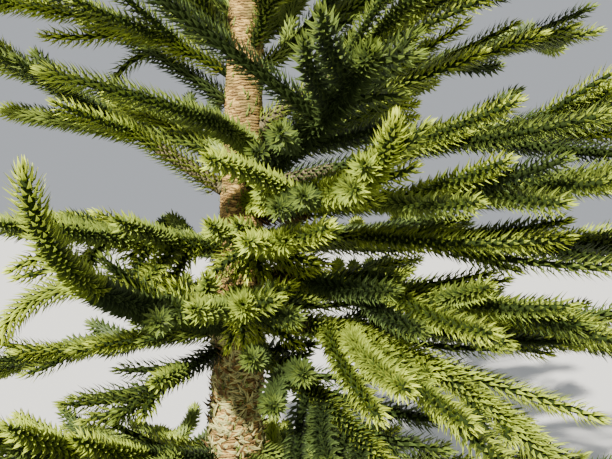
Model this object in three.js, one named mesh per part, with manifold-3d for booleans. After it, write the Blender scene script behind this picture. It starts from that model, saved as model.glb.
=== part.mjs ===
// Monkey puzzle tree: a straight tapering trunk with whorls of long leafy boughs.
// Millimetres, +Z up. The trunk's foot stands on the origin and -Y is the front of the tree.
// Azimuths run from +X (0) round to +Y (90). Angles are in degrees.
import * as THREE from 'three';
import Module from 'manifold-3d';

// Trunk
const TRUNK_TOP = 4050;
const TRUNK_SIDES = 16;
const TRUNK_RINGS = [0, 35, 85, 160, 270, 430, 700, 1050, 1450, 1850, 2250, 2650, 3050, 3450, 3800, 4050];
const LEAN = 1.6;
const SWAY = 12;
const SWAY_RATE = 0.0013;
const TAPER_TOP = 5050;
const TAPER_SIZE = 12.5;
const TAPER_POWER = 1.27;
const TIP_RADIUS = 11;
const FLARE_SIZE = 45;
const FLARE_HEIGHT = 160;
const ROOT_LOBES = 5;
const ROOT_LOBE_DEPTH = 0.09;
const ROOT_LOBE_HEIGHT = 150;

// Boughs and shoots
const STEP = 30;
const JOINT_GAP = 0.3;
const LIMB_ROOT = 27;
const LIMB_TIP = 20;
const LIMB_SIDES = 8;
const LIMB_RING = 70;
const STEM_ROOT = 23;
const STEM_TIP = 19;
const BARE_START = 100;
const LEAF_PITCH = 260;
const LEAF_TIP_AT = 0.9;
const LEAF_AXIL_AT = 0.76;
const LEAF_AXIL_SHARE = 0.68;
const FIRST_LEAF_AT = 45;
const LAST_LEAF_AT = 0.65;
const THINNING = 0.12;
const BUD_LENGTH = 18;
const LEAST_EDGE = 0.02;
const ROLL_STEP = 17;
const LAST_ROLL = 119;
const MAIN_SPREAD = 51;
const SIDE_SPREAD = 45;

// Room that each shoot keeps round its line, and the least clear distance between two masses
const SHOOT_ROOM = 50;
const LIMB_ROOM = 30;
const TWIG_ROOM = 44;
const CLEAR = 4;
const OWN_SHARE = 0.97;
const FREE_ROOT = 150;
const SIDE_ROOT = 60;
const SHORTEST_SHOOT = 210;
const TRUNK_MARGIN = 12;
const LOWEST_LEAF = 80;

// Leader: the leafy top shoot with its own short whorls (height, count, first azimuth, length)
const LEADER_FOOT = 1;
const LEADER_TIP = 5230;
const LEADER_WHORLS = [
  [4200, 4, 20, 560],
  [4500, 3, 65, 450],
  [4740, 3, 5, 330],
  [4950, 3, 65, 240],
];

// Side shoots: how far they turn from the bough, how much of their full length they reach and how
// much higher or lower they point (each from, to), then their start, shortening, curve and dip
const SEED = 1009;
const TURN_RANGE = [42, 58];
const LENGTH_RANGE = [0.8, 1.12];
const LIFT_RANGE = [-8, 10];
const PLACE_RANGE = [-20, 20];
const FIRST_SIDE = 200;
const PAST_LIMB = 60;
const BARE_END = 160;
const SHORTENING = 0.72;
const ELEVATION_SHARE = 0.8;
const LOWEST_SIDE = -55;
const STEEPEST_SIDE = 50;
const CURVE_BACK = 26;
const SIDE_DIP = -3;
const SIDE_TURN = 1.3;
const HEADING_POWER = 0.6;
const LEADER_LEAN = [28, 38];
const LEADER_SIDE_TO = 48;

const DEFAULTS = { rise: 0, bend: 0, dip: 0, turn: 1.5, limb: 0, gap: 300, reach: 0.55, tipUp: 10, extras: [] };

// Each bough: azimuth, length, elevation at its start (from) and at its end (to). rise is its height
// above the whorl, limb the length of its bare wooden part, gap and reach the spacing and length of
// its side shoots, and an extra one more shoot: [along, turned by, from, to, length, bend].
const WHORLS = [
  {
    name: 'skirt',
    height: 720,
    boughs: [
      { azimuth: 222, length: 1000, from: 10, to: 30, gap: 270, reach: 0.6 },
      { azimuth: 262, length: 800, from: 0, to: 30, rise: -20, gap: 270, reach: 0.6 },
      { azimuth: 303, length: 950, from: 2, to: 16, gap: 270, reach: 0.6 },
      { azimuth: 352, length: 1250, from: -6, to: 4, rise: 20 },
      { azimuth: 60, length: 1200, from: -6, to: -10, rise: -80, tipUp: -2 },
      { azimuth: 115, length: 1200, from: -6, to: -10, rise: -100, tipUp: -2 },
      { azimuth: 168, length: 1200, from: -6, to: 8, rise: 30 },
    ],
  },
  {
    name: 'lower',
    height: 1180,
    boughs: [
      {
        azimuth: 253, length: 1270, from: 12, to: 84, turn: 5, limb: 220, reach: 0.2,
        extras: [[440, -74, 34, -66, 520, 0], [90, 34, 12, 10, 380, 0], [60, -60, 26, 34, 380, 0]],
      },
      { azimuth: 226, length: 850, from: -14, to: -42, rise: -60, turn: 1.4, gap: 270, reach: 0.4 },
      { azimuth: 163, length: 1250, from: -4, to: -22, rise: -30, turn: 1, gap: 400, reach: 0.35 },
      {
        azimuth: 320, length: 1300, from: 4, to: -48, rise: 20, turn: 1.5, limb: 200, gap: 240,
        reach: 0.65, tipUp: -4,
      },
      {
        azimuth: 302, length: 850, from: -6, to: -24, rise: -60, gap: 240, reach: 0.7,
        extras: [[60, -34, 12, 14, 400, 0]],
      },
      { azimuth: 358, length: 1380, from: 2, to: -10, rise: -20, gap: 270, reach: 0.6 },
      { azimuth: 60, length: 1300, from: 2, to: 8, rise: 20 },
      { azimuth: 112, length: 1300, from: 0, to: 6, rise: -20 },
      {
        azimuth: 276, length: 620, from: -6, to: 16, rise: 120, gap: 170, reach: 0.75,
        extras: [[110, -52, -30, -16, 420, 0], [110, 56, -30, -16, 420, 0]],
      },
    ],
  },
  {
    name: 'middle',
    height: 1430,
    boughs: [
      {
        azimuth: 216, length: 800, from: 8, to: 6, gap: 240, reach: 0.6,
        extras: [[150, 40, -24, -8, 420, 0]],
      },
      {
        azimuth: 286, length: 620, from: 0, to: 8, rise: 30, gap: 240, reach: 0.7,
        extras: [[120, -70, -28, -36, 440, 0], [60, -24, -34, -20, 380, 0]],
      },
      { azimuth: 347, length: 1420, from: 4, to: -10, rise: 30, limb: 220, gap: 260, reach: 0.65 },
      { azimuth: 334, length: 1150, from: -4, to: -8, rise: -70, gap: 240 },
      { azimuth: 50, length: 1300, from: 2, to: 4 },
      { azimuth: 130, length: 1250, from: 2, to: 4, rise: -10 },
    ],
  },
  {
    name: 'main',
    height: 1700,
    boughs: [
      { azimuth: 306, length: 900, from: 12, to: 12, rise: 40, bend: -116, turn: 0.8, gap: 400, reach: 0.2 },
      {
        azimuth: 298, length: 1050, from: 8, to: 22, rise: -30, bend: -12, limb: 200, gap: 270, reach: 0.5,
        extras: [[600, -84, 34, 36, 620, 0], [560, -60, 66, 80, 380, 0]],
      },
      {
        azimuth: 296, length: 1020, from: 2, to: 84, rise: -110, turn: 7, gap: 270, reach: 0.36,
        extras: [[360, -68, 21, 6, 430, 18]],
      },
      {
        azimuth: 350, length: 1300, from: 36, to: 28, rise: 100, limb: 240, gap: 240, reach: 0.5,
        extras: [[500, 10, 60, 80, 350, 0]],
      },
      { azimuth: 18, length: 1450, from: 34, to: 8, rise: 30, turn: 1, gap: 270, reach: 0.5 },
      {
        azimuth: 349, length: 1400, from: 13, to: 12, rise: -70, limb: 240, gap: 230, reach: 0.65,
        extras: [[300, -28, -4, 0, 900, 14], [700, -30, -10, -2, 500, 10]],
      },
      { azimuth: 330, length: 1250, from: 7, to: 3, rise: -160, gap: 230, reach: 0.6 },
      { azimuth: 62, length: 1300, from: 16, to: 16 },
      { azimuth: 118, length: 1250, from: 14, to: 18, rise: 20 },
      {
        azimuth: 181, length: 1020, from: 32, to: 30, rise: -100, limb: 200, gap: 270, reach: 0.5,
        extras: [[220, 24, 20, 22, 850, 0], [300, -30, 14, 10, 600, 10]],
      },
    ],
  },
  {
    name: 'upper',
    height: 2010,
    boughs: [
      { azimuth: 194, length: 1250, from: 46, to: -8, rise: -30, turn: 0.5, gap: 320, reach: 0.36 },
      {
        azimuth: 166, length: 640, from: 36, to: 26, rise: -120, reach: 0.3,
        extras: [[300, 8, -10, -86, 240, 0]],
      },
      { azimuth: 224, length: 800, from: 44, to: 36, rise: 30, reach: 0.35 },
      { azimuth: 306, length: 800, from: 50, to: 36, rise: 40 },
      { azimuth: 30, length: 1200, from: 34, to: 20 },
      { azimuth: 98, length: 1200, from: 30, to: 20, rise: 30 },
    ],
  },
  {
    name: 'high',
    height: 2420,
    boughs: [
      { azimuth: 0, length: 1150, from: 36, to: 26, gap: 340, reach: 0.5 },
      { azimuth: 90, length: 1150, from: 32, to: 24, rise: 20, gap: 340, reach: 0.5 },
      { azimuth: 180, length: 1150, from: 32, to: 24, rise: -20, gap: 340, reach: 0.5 },
      { azimuth: 262, length: 1150, from: 36, to: 26, gap: 340, reach: 0.5 },
    ],
  },
  {
    name: 'higher',
    height: 2830,
    boughs: [
      { azimuth: 45, length: 1060, from: 40, to: 30, gap: 310 },
      { azimuth: 165, length: 1060, from: 38, to: 32, rise: 20, gap: 310 },
      { azimuth: 285, length: 1060, from: 40, to: 30, rise: -20, gap: 310 },
    ],
  },
  {
    name: 'young',
    height: 3240,
    boughs: [
      { azimuth: 345, length: 920, from: 44, to: 36 },
      { azimuth: 105, length: 920, from: 44, to: 36, rise: 20 },
      { azimuth: 225, length: 920, from: 42, to: 36, rise: -20 },
    ],
  },
  {
    name: 'youngest',
    height: 3640,
    boughs: [
      { azimuth: 60, length: 780, from: 48, to: 42, gap: 270 },
      { azimuth: 180, length: 780, from: 48, to: 42, rise: 20, gap: 270 },
      { azimuth: 300, length: 780, from: 48, to: 42, rise: -20, gap: 270 },
    ],
  },
];

const COLOURS = {
  bark: { color: 0xa98f70, roughness: 0.9, metalness: 0 },
  boughBark: { color: 0x7d6a4a, roughness: 0.9, metalness: 0 },
  foliage: { color: 0x5f7a2a, roughness: 0.65, metalness: 0 },
};

const wasm = await Module();
wasm.setup();

const radians = (degrees) => (degrees * Math.PI) / 180;
const degrees = (angle) => (angle * 180) / Math.PI;
const nearest = (value) => Math.floor(value + 0.5);
const limited = (value, low, high) => Math.max(low, Math.min(high, value));

// Repeatable random numbers
class Dice {
  constructor(seed) {
    this.state = seed >>> 0;
  }

  between(low, high) {
    this.state = (Math.imul(this.state, 1664525) + 1013904223) >>> 0;
    return low + ((high - low) * this.state) / 4294967296;
  }
}

function trunkAxis(z) {
  return new THREE.Vector3(Math.tan(radians(LEAN)) * z, SWAY * Math.sin(z * SWAY_RATE), z);
}

function trunkRadius(z) {
  const taper = TAPER_SIZE * Math.max(0, (TAPER_TOP - z) / 1000) ** TAPER_POWER;
  return taper + TIP_RADIUS + FLARE_SIZE * Math.exp(-z / FLARE_HEIGHT);
}

function fromTrunkAxis(point) {
  const axis = trunkAxis(point.z);
  return Math.hypot(point.x - axis.x, point.y - axis.y);
}

// The line of a bough or shoot, one point every STEP
function growLine(start, azimuth, from, to, length, bend, dip, turn) {
  const count = Math.max(2, nearest(length / STEP));
  const points = [start.clone()];
  for (let i = 0; i < count; i += 1) {
    const t = (i + 0.5) / count;
    const elevation = radians(from + (to - from) * t ** turn + dip * 4 * t * (1 - t));
    const heading = radians(azimuth + bend * t ** HEADING_POWER);
    const level = Math.cos(elevation);
    const stride = new THREE.Vector3(level * Math.cos(heading), level * Math.sin(heading), Math.sin(elevation));
    points.push(points[i].clone().addScaledVector(stride, length / count));
  }
  return points;
}

// Every line grown so far, with the room that it keeps
const taken = [];

function clearCount(points, rooms, owner, freeRoot) {
  for (let i = 0; i < points.length; i += 1) {
    const point = points[i];
    const along = i * STEP;
    if (point.z < LOWEST_LEAF) return i;
    if (along > freeRoot && fromTrunkAxis(point) < trunkRadius(point.z) + rooms[i] + CLEAR) return i;
    for (const other of taken) {
      const room = other.room + rooms[i];
      const own = other.owner === owner;
      if (own && along <= (other.main ? freeRoot : SIDE_ROOT)) continue;
      if (other.point.distanceTo(point) < (own ? room * OWN_SHARE : room + CLEAR)) return i;
    }
  }
  return points.length;
}

function take(points, rooms, owner, main) {
  points.forEach((point, i) => taken.push({ point, room: rooms[i], owner, main }));
}

function headingAt(points, index) {
  const stride = points[index + 1].clone().sub(points[index]).normalize();
  return [degrees(Math.atan2(stride.y, stride.x)), degrees(Math.asin(limited(stride.z, -1, 1)))];
}

function growMains() {
  const mains = [];
  for (const whorl of WHORLS) {
    whorl.boughs.forEach((row, index) => {
      const plan = { ...DEFAULTS, ...row };
      const start = trunkAxis(whorl.height + plan.rise);
      const { azimuth, from, to, length, bend, dip, turn } = plan;
      const points = growLine(start, azimuth, from, to, length, bend, dip, turn);
      const first = points.findIndex((point) => fromTrunkAxis(point) > trunkRadius(point.z) + TRUNK_MARGIN);
      const bare = first + nearest(Math.max(plan.limb, BARE_START) / STEP);
      const rooms = points.map((_, i) => (i < bare ? LIMB_ROOM : SHOOT_ROOM));
      mains.push({ plan, name: `${whorl.name}_${index + 1}`, owner: mains.length, points, rooms, first, bare });
    });
  }
  for (const main of mains) {
    const outer = main.points.slice(main.first);
    const count = clearCount(outer, main.rooms.slice(main.first), main.owner, Infinity);
    main.points = main.points.slice(0, main.first + count);
    main.rooms = main.rooms.slice(0, main.first + count);
    take(main.points.slice(main.first), main.rooms.slice(main.first), main.owner, true);
    main.sides = [];
  }
  return mains;
}

// A side shoot stops at its last clear point and is left out where too little of it is clear
function addSide(main, start, azimuth, from, to, length, bend) {
  const line = growLine(start, azimuth, from, to, length, bend, SIDE_DIP, SIDE_TURN);
  const rooms = line.map(() => TWIG_ROOM);
  const count = clearCount(line, rooms, main.owner, FREE_ROOT);
  if (count * STEP < SHORTEST_SHOOT) return;
  const points = line.slice(0, count);
  take(points, rooms.slice(0, count), main.owner, false);
  main.sides.push(points);
}

function addExtras(main) {
  for (const [along, turned, from, to, length, bend] of main.plan.extras) {
    const index = main.first + nearest(along / STEP);
    if (index > main.points.length - 3) continue;
    const [azimuth] = headingAt(main.points, index);
    addSide(main, main.points[index], azimuth + turned, from, to, length, bend);
  }
}

// Side shoots leave the bough in turn to its left and right and shorten towards its tip
function addSides(main) {
  const { length, gap, reach, tipUp, limb } = main.plan;
  const dice = new Dice(SEED * (main.owner + 1));
  for (let along = Math.max(limb + PAST_LIMB, FIRST_SIDE); along < length - BARE_END; along += gap) {
    for (const side of [-1, 1]) {
      const at = along + (side > 0 ? 0.5 * gap : 0) + dice.between(...PLACE_RANGE);
      const turned = dice.between(...TURN_RANGE);
      const share = dice.between(...LENGTH_RANGE);
      const lift = dice.between(...LIFT_RANGE);
      const index = main.first + nearest(at / STEP);
      if (index > main.points.length - 4) continue;
      const [azimuth, elevation] = headingAt(main.points, index);
      const reached = reach * length * (1 - (SHORTENING * at) / length) * share;
      const from = limited(elevation * ELEVATION_SHARE + lift, LOWEST_SIDE, STEEPEST_SIDE);
      const opened = (side * turned) / Math.cos(radians(limited(elevation, -45, 45)));
      const to = from * 0.9 + tipUp;
      addSide(main, main.points[index], azimuth + opened, from, to, reached, -side * CURVE_BACK);
    }
  }
}

function growLeader(owner) {
  const count = nearest((LEADER_TIP - TRUNK_TOP) / STEP);
  const points = [];
  for (let i = 0; i <= count; i += 1) {
    points.push(trunkAxis(TRUNK_TOP + LEADER_FOOT + (i * (LEADER_TIP - TRUNK_TOP)) / count));
  }
  const leader = { name: 'top', owner, points, sides: [], first: 0, bare: 2 };
  take(points.slice(2), points.slice(2).map(() => TWIG_ROOM), owner, true);
  const dice = new Dice(SEED * (owner + 1));
  for (const [height, shoots, firstAzimuth, length] of LEADER_WHORLS) {
    const start = points[nearest((height - TRUNK_TOP) / STEP)];
    for (let i = 0; i < shoots; i += 1) {
      const azimuth = firstAzimuth + (360 * i) / shoots + dice.between(-8, 8);
      const lean = dice.between(...LEADER_LEAN);
      addSide(leader, start, azimuth, lean, LEADER_SIDE_TO, length * dice.between(0.9, 1.1), 0);
    }
  }
  return leader;
}

function solidOf(points, corners) {
  const vertProperties = new Float32Array(points.flatMap((point) => point.toArray()));
  return new wasm.Manifold(new wasm.Mesh({ numProp: 3, vertProperties, triVerts: new Uint32Array(corners) }));
}

// Closed solid through a list of rings, each with the same number of points, ended flat or in a point
function loft(rings, tip) {
  const sides = rings[0].length;
  const vertices = rings.flat();
  const triangles = [];
  for (let r = 0; r + 1 < rings.length; r += 1) {
    for (let s = 0; s < sides; s += 1) {
      const a = r * sides + s;
      const b = r * sides + ((s + 1) % sides);
      triangles.push(a, b, b + sides, a, b + sides, a + sides);
    }
  }
  for (let s = 1; s + 1 < sides; s += 1) triangles.push(0, s + 1, s);
  const last = (rings.length - 1) * sides;
  if (tip) {
    vertices.push(tip);
    for (let s = 0; s < sides; s += 1) triangles.push(last + s, last + ((s + 1) % sides), vertices.length - 1);
  } else {
    for (let s = 1; s + 1 < sides; s += 1) triangles.push(last, last + s, last + s + 1);
  }
  return solidOf(vertices, triangles);
}

function trunkRing(z, growth) {
  const axis = trunkAxis(z);
  const ring = [];
  for (let s = 0; s < TRUNK_SIDES; s += 1) {
    const angle = (2 * Math.PI * s) / TRUNK_SIDES;
    const lobes = 1 + ROOT_LOBE_DEPTH * Math.cos(ROOT_LOBES * angle) * Math.exp(-z / ROOT_LOBE_HEIGHT);
    const radius = trunkRadius(z) * lobes + growth;
    ring.push(new THREE.Vector3(axis.x + radius * Math.cos(angle), axis.y + radius * Math.sin(angle), z));
  }
  return ring;
}

function trunkSolid(growth) {
  return loft(TRUNK_RINGS.map((z) => trunkRing(z, growth)));
}

// Positions and cross directions along a line, carried on without twist
class Way {
  constructor(points) {
    this.points = points;
    this.lengths = [0];
    for (let i = 1; i < points.length; i += 1) {
      this.lengths.push(this.lengths[i - 1] + points[i].distanceTo(points[i - 1]));
    }
    this.total = this.lengths[points.length - 1];
    this.across = [];
    let across = new THREE.Vector3(0, 0, 1);
    for (let i = 0; i < points.length; i += 1) {
      const ahead = this.headingOf(i);
      if (i === 0 && Math.abs(ahead.z) > 0.95) across.set(1, 0, 0);
      across = across.clone().addScaledVector(ahead, -across.dot(ahead)).normalize();
      this.across.push(across);
    }
  }

  headingOf(index) {
    const before = this.points[Math.max(0, index - 1)];
    const after = this.points[Math.min(this.points.length - 1, index + 1)];
    return after.clone().sub(before).normalize();
  }

  at(distance) {
    const last = this.points.length - 2;
    let i = 0;
    while (i < last && this.lengths[i + 1] < distance) i += 1;
    const span = this.lengths[i + 1] - this.lengths[i];
    const share = (distance - this.lengths[i]) / span;
    const centre = this.points[i].clone().lerp(this.points[i + 1], share);
    const ahead = this.headingOf(i).lerp(this.headingOf(i + 1), limited(share, 0, 1)).normalize();
    const across = this.across[i].clone().addScaledVector(ahead, -this.across[i].dot(ahead)).normalize();
    return { centre, ahead, across, over: ahead.clone().cross(across) };
  }

  ring(distance, radius, sides, turned = 0, middle = null) {
    const { centre: onLine, across, over } = this.at(distance);
    const centre = middle || onLine;
    const ring = [];
    for (let s = 0; s < sides; s += 1) {
      const angle = (2 * Math.PI * s) / sides + turned;
      const vertex = centre.clone().addScaledVector(across, radius * Math.cos(angle));
      ring.push(vertex.addScaledVector(over, radius * Math.sin(angle)));
    }
    return ring;
  }
}

// A leafy shoot: three rows of leaf tips that point forwards, one of each row at every pitch.
// It begins as a slim stem that stays bare as far as asked.
function leafyShoot(points, begin, bare, spread, roll) {
  const way = new Way(points);
  const rings = [way.ring(begin, STEM_ROOT, 3, roll)];
  if (bare > begin) rings.push(way.ring(bare, STEM_TIP, 3, roll));
  const start = Math.max(begin, bare);
  const leafy = way.total - start;
  const count = Math.max(1, nearest(leafy / LEAF_PITCH));
  const pitch = leafy / count;
  if (begin > 0 || bare > 0) rings.push(way.ring(start + FIRST_LEAF_AT, spread * LEAF_AXIL_SHARE, 3, roll));
  let axil = way.at(start).centre;
  for (let i = 0; i < count; i += 1) {
    const isLast = i === count - 1;
    const thinned = spread * (1 - (THINNING * i) / count);
    const from = start + i * pitch;
    const tipsAt = from + (isLast ? LAST_LEAF_AT : LEAF_TIP_AT) * pitch;
    rings.push(way.ring(tipsAt, thinned, 3, roll));
    if (isLast) break;
    axil = axil.clone().lerp(way.at(tipsAt).centre, LEAF_AXIL_AT / LEAF_TIP_AT);
    rings.push(way.ring(from + LEAF_AXIL_AT * pitch, thinned * LEAF_AXIL_SHARE, 3, roll, axil));
  }
  const { centre, ahead } = way.at(way.total);
  return loft(rings, centre.addScaledVector(ahead, BUD_LENGTH));
}

// Distance along a line at one of its points
function distanceTo(points, index) {
  let distance = 0;
  for (let i = 1; i <= index; i += 1) distance += points[i].distanceTo(points[i - 1]);
  return distance;
}

function anyNear(places, distance) {
  const sorted = [...places].sort((p, q) => p.x - q.x);
  for (let i = 0; i < sorted.length; i += 1) {
    for (let j = i + 1; j < sorted.length && sorted[j].x - sorted[i].x < distance; j += 1) {
      if (sorted[i].distanceTo(sorted[j]) < distance) return true;
    }
  }
  return false;
}

// Points of a solid, each place once, and the three corners of every face
function facesOf(solid) {
  const { vertProperties, triVerts } = solid.getMesh();
  const numbers = new Map();
  const points = [];
  const corners = [];
  for (const vertex of triVerts) {
    const point = new THREE.Vector3().fromArray(vertProperties, 3 * vertex);
    const key = point.toArray().join();
    if (!numbers.has(key)) {
      numbers.set(key, points.length);
      points.push(point);
    }
    corners.push(numbers.get(key));
  }
  return { points, corners };
}

// True where the faces make one closed body with no edge used twice and no two points too near
function isOneBody(solid) {
  const { points, corners } = facesOf(solid);
  if (anyNear(points, LEAST_EDGE)) return false;
  const count = corners.length / 3;
  const group = Array.from({ length: count }, (_, i) => i);
  const rootOf = (i) => {
    while (group[i] !== i) i = group[i];
    return i;
  };
  const faceAt = new Map();
  for (let face = 0; face < count; face += 1) {
    for (let k = 0; k < 3; k += 1) {
      const from = corners[3 * face + k];
      const to = corners[3 * face + ((k + 1) % 3)];
      if (from === to || faceAt.has(`${from},${to}`)) return false;
      faceAt.set(`${from},${to}`, face);
      const opposite = faceAt.get(`${to},${from}`);
      if (opposite !== undefined) group[rootOf(face)] = rootOf(opposite);
    }
  }
  const root = rootOf(0);
  return group.every((_, i) => rootOf(i) === root);
}

// The same solid made anew from its faces, as it is when it is read again
function remade(solid) {
  const { points, corners } = facesOf(solid);
  return solidOf(points, corners);
}

// A shoot is rolled about its own line until the solid that it makes is one clean body
function firstClean(make, otherwise) {
  for (let roll = 0; roll <= LAST_ROLL; roll += ROLL_STEP) {
    const solid = make(radians(roll));
    if (!isOneBody(solid)) continue;
    const reread = remade(solid);
    if (isOneBody(reread) && isOneBody(remade(reread))) return reread;
  }
  return otherwise;
}

function massSolid(main, trunkRoom) {
  const bareEnd = distanceTo(main.points, main.bare);
  const isTop = main.name === 'top';
  const hasLimb = !isTop && main.plan.limb > 0;
  const begin = hasLimb ? bareEnd + JOINT_GAP : 0;
  const makeStem = (roll) => {
    const stem = leafyShoot(main.points, begin, bareEnd, isTop ? SIDE_SPREAD : MAIN_SPREAD, roll);
    return hasLimb || isTop ? stem : stem.subtract(trunkRoom);
  };
  return main.sides.reduce(
    (solid, side) => firstClean((roll) => solid.add(leafyShoot(side, 0, 0, SIDE_SPREAD, roll)), solid),
    firstClean(makeStem, makeStem(0)),
  );
}

// A bare tapering bough from the trunk to the mass of foliage that it carries
function limbSolid(main, trunkRoom) {
  const way = new Way(main.points);
  const end = distanceTo(main.points, main.bare);
  const count = Math.max(3, nearest(end / LIMB_RING));
  const rings = [];
  for (let i = 0; i <= count; i += 1) {
    const share = i / count;
    rings.push(way.ring(end * share, LIMB_ROOT + (LIMB_TIP - LIMB_ROOT) * share, LIMB_SIDES));
  }
  return loft(rings).subtract(trunkRoom);
}

function toMesh(solid, name, colour) {
  const { vertProperties, triVerts } = solid.getMesh();
  const geometry = new THREE.BufferGeometry();
  geometry.setAttribute('position', new THREE.BufferAttribute(new Float32Array(vertProperties), 3));
  geometry.setIndex(new THREE.BufferAttribute(new Uint32Array(triVerts), 1));
  geometry.computeVertexNormals();
  const mesh = new THREE.Mesh(geometry, new THREE.MeshStandardMaterial(colour));
  mesh.name = name;
  return mesh;
}

function buildTree() {
  const tree = new THREE.Group();
  tree.name = 'monkey_puzzle_tree';
  const trunkRoom = trunkSolid(JOINT_GAP);
  tree.add(toMesh(trunkSolid(0), 'trunk', COLOURS.bark));
  const mains = growMains();
  mains.forEach(addExtras);
  mains.forEach(addSides);
  for (const main of mains) {
    if (main.plan.limb > 0) {
      tree.add(toMesh(limbSolid(main, trunkRoom), `bough_${main.name}`, COLOURS.boughBark));
    }
    tree.add(toMesh(massSolid(main, trunkRoom), `foliage_${main.name}`, COLOURS.foliage));
  }
  tree.add(toMesh(massSolid(growLeader(mains.length), trunkRoom), 'foliage_top', COLOURS.foliage));
  return tree;
}

export default buildTree();
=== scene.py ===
import functools
import math

import bpy
import numpy as np
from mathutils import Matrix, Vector


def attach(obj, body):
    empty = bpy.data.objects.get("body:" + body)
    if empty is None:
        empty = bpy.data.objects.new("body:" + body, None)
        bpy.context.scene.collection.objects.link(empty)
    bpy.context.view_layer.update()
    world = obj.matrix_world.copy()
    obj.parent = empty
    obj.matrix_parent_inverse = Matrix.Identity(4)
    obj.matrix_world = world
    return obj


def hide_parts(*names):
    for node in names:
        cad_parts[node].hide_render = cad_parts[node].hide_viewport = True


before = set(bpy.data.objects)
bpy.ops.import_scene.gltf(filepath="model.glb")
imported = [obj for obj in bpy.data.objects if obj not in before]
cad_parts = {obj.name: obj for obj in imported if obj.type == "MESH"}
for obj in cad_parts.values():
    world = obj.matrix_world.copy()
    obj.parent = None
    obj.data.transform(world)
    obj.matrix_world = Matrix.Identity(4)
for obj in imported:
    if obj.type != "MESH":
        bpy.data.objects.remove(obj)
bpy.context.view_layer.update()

# The trunk and the rules of growth repeat the part's source, in millimetres and degrees
trunkPlan = {
    "top": 4050, "lean": 1.6, "sway": 12, "swayRate": 0.0013,
    "taperTop": 5050, "taperSize": 12.5, "taperPower": 1.27, "tipRadius": 11,
    "flareSize": 45, "flareHeight": 160, "rootLobes": 5, "lobeDepth": 0.09, "lobeHeight": 150,
}

# room is kept round a shoot, and ownShare and otherShare say how much of it against its own mass
# and the others; freeRoot and sideRoot are the lengths at a shoot's foot that may touch its mass
growthPlan = {
    "step": 30, "seed": 1009, "firstLot": 1,
    "limbRoom": 30, "shootRoom": 50, "room": 44, "clear": 4, "ownShare": 0.97, "otherShare": 1,
    "freeRoot": 150, "sideRoot": 60, "shortest": 210, "trunkMargin": 12, "lowestLeaf": 80,
    "bareStart": 100, "bareEnd": 160, "firstSide": 200, "pastLimb": 60, "sidesEnd": 4,
    "extrasEnd": 3,
    "place": (-20, 20), "turned": (42, 58), "share": (0.8, 1.12), "lift": (-8, 10),
    "shortening": 0.72, "leastReach": 0, "elevationShare": 0.8, "tipShare": 0.9, "openedTo": 45,
    "lowestSide": -55, "steepestSide": 50, "curveBack": 26, "sideDip": -3, "sideTurn": 1.3,
    "headingPower": 0.6,
}

step = growthPlan["step"]  # from point to point of every line

# The leafy top shoot and its own short whorls: height, count, first azimuth, length
leaderPlan = {
    "foot": 1, "tip": 5230, "reach": 0.2, "lean": (28, 38), "sideTo": 48,
    "turned": (-8, 8), "share": (0.9, 1.1), "leafless": 2,
    "whorls": [(4200, 4, 20, 560), (4500, 3, 65, 450), (4740, 3, 5, 330), (4950, 3, 65, 240)],
}

# Finer side shoots that fill the source's wide gaps, past the mass's reach by no more than past
finePlan = {
    "gap": 33, "firstAt": 80, "bareEnd": 70, "sidesEnd": 3, "ownShare": 0.52, "otherShare": 0.74,
    "shortest": 120, "room": 36, "freeRoot": 70, "sideRoot": 50, "leastReach": 200,
    "steepestSide": 60, "turned": (34, 64), "share": (0.7, 1.05), "lift": (-16, 20),
    "seed": 77, "firstLot": 3, "past": 12,
}

# The short shoots in front of the trunk stand closer than the rest
closePlan = {**finePlan, "shortest": 80, "ownShare": 0.42, "otherShare": 0.55, "room": 34}

boughDefaults = {
    "rise": 0, "bend": 0, "turn": 1.5, "limb": 0, "gap": 300, "reach": 0.55, "tipUp": 10,
    "extras": [], "fineExtras": [], "fineTo": 5000, "deadFoot": 0, "brightTip": 0, "tint": "",
    "extraTint": "", "sideTint": "",
}


def bough(azimuth, length, low, high, **changes):
    course = {"azimuth": azimuth, "length": length, "from": low, "to": high}
    return {**boughDefaults, **course, **changes}


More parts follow.
